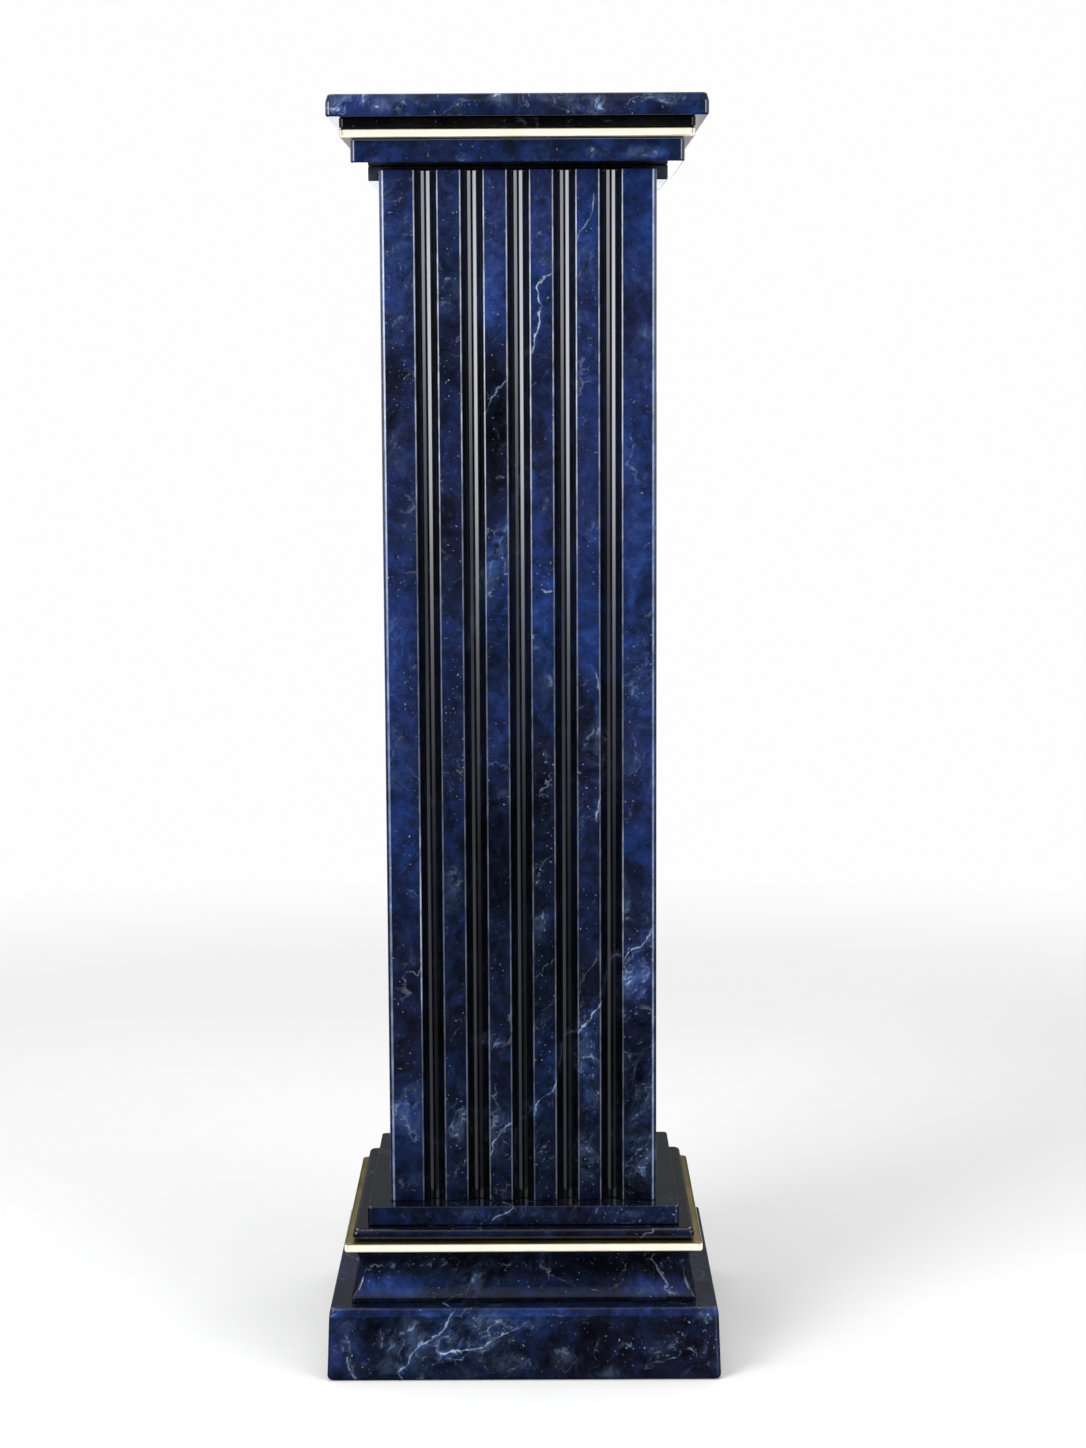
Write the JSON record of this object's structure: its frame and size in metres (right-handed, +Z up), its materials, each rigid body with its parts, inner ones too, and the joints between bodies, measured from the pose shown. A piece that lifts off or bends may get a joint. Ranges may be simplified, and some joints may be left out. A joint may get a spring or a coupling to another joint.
{
  "type": "decorative column pedestal",
  "caption": "Free-standing square pedestal column in polished blue marble, with a fluted shaft, moulded base and capital, and gilt bands.",
  "frame": {"origin": "middle of the plinth's underside, on the surface that the column stands on", "axes": "+Z up the column; the front face looks along -Y, and +X is to the viewer's right"},
  "size_m": [0.3132, 0.3132, 1],
  "materials": {
    "plinth_marble": "polished",
    "base_moulding_marble": "polished",
    "shaft_marble": "polished",
    "capital_marble": "polished",
    "black_marble": "polished",
    "gilt_band": "polished gilt"
  },
  "bodies": {
    "root": {"plinth": "plinth_marble", "base_scotia": "base_moulding_marble", "gold_band_lower": "gilt_band", "base_nosing": "base_moulding_marble", "base_slab": "base_moulding_marble", "shaft": "shaft_marble", "neck_saddle": "black_marble", "capital_slab": "capital_marble", "gold_band_upper": "gilt_band", "capital_fillet": "black_marble", "top_slab": "capital_marble"}
  },
  "joints": []
}
